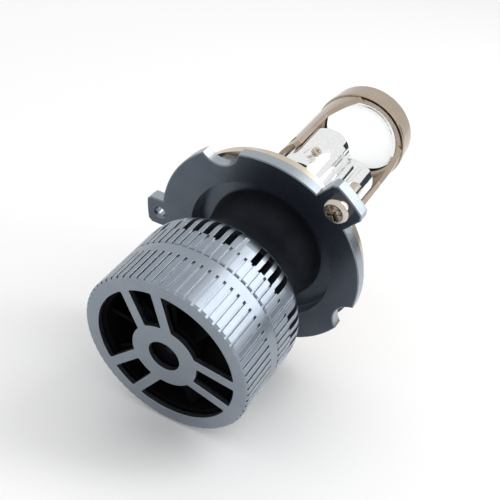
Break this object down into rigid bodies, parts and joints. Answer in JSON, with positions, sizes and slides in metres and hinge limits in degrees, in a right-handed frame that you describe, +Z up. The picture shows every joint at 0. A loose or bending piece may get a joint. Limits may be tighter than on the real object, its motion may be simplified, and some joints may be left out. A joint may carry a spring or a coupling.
{
  "type": "headlight bulb",
  "caption": "LED headlight bulb with a small projector lens on two arms, a lugged turning collar and a fan-cooled, finned aluminium heat sink.",
  "frame": {"origin": "on the optical axis, in the rear face of the front plate, against which the collar's raised land turns", "axes": "+Y along the optical axis towards the lens, +Z up, +X to the right seen from behind the fan"},
  "size_m": [0.0479, 0.0874, 0.0479],
  "materials": {
    "anodised_grey": "blue-grey anodised, satin, fine turned surface",
    "anodised_black": "blue-black anodised, satin",
    "fan_plastic": "black glass-filled moulded plastic",
    "magnet": "dark bonded ferrite",
    "bronze": "sintered bronze",
    "stator_iron": "laminated iron with insulating varnish",
    "copper": "bare copper",
    "board_green": "green solder mask",
    "board_white": "white solder mask on copper core",
    "component_black": "moulded electronic components",
    "nickel": "nickel-plated steel",
    "champagne": "champagne anodised, fine satin",
    "champagne_nickel": "polished champagne nickel plating",
    "mirror_chrome": "vacuum-metallised mirror finish",
    "phosphor": "yellow phosphor over LED dies",
    "shield_black": "matt black heat-proof coat",
    "rubber": "black silicone rubber",
    "silicone": "milky white silicone rubber",
    "black_steel": "black-oxide steel",
    "lens_glass": "clear optical glass, polished"
  },
  "bodies": {
    "bulb": {"fan_cap": "anodised_grey", "fan_frame": "fan_plastic", "fan_screws": "black_steel", "fan_bearing": "bronze", "fan_stator": "stator_iron", "fan_coils": "copper", "fan_board": "board_green", "heat_sink": "anodised_grey", "cable_grommet": "rubber", "neck": "anodised_black", "heat_pipe": "copper", "driver_board": "board_green", "driver_parts": "component_black", "front_plate": "champagne", "plate_screws": "nickel", "led_plate": "copper", "led_board_low": "board_white", "led_chips_low": "phosphor", "led_board_high": "board_white", "led_chips_high": "phosphor", "reflector_upper": "mirror_chrome", "reflector_lower": "mirror_chrome", "reflector_screws": "nickel", "cutoff_shield": "shield_black", "lens_holder": "champagne_nickel", "holder_screws": "nickel", "lens": "lens_glass", "lens_gasket": "silicone"},
    "fan": {"fan_rotor": "fan_plastic", "fan_magnet": "magnet", "fan_shaft": "black_steel"},
    "collar": {"collar": "anodised_grey", "lug_screw": "nickel"}
  },
  "joints": [
    {"name": "fan_spin", "type": "hinge", "parent": "bulb", "child": "fan", "pos_m": [0, -0.032, 0], "axis": [0, 1, 0], "continuous": true},
    {"name": "collar_twist", "type": "hinge", "parent": "bulb", "child": "collar", "pos_m": [0, -0.0018, 0], "axis": [0, 1, 0], "range_deg": [-15, 15]}
  ]
}
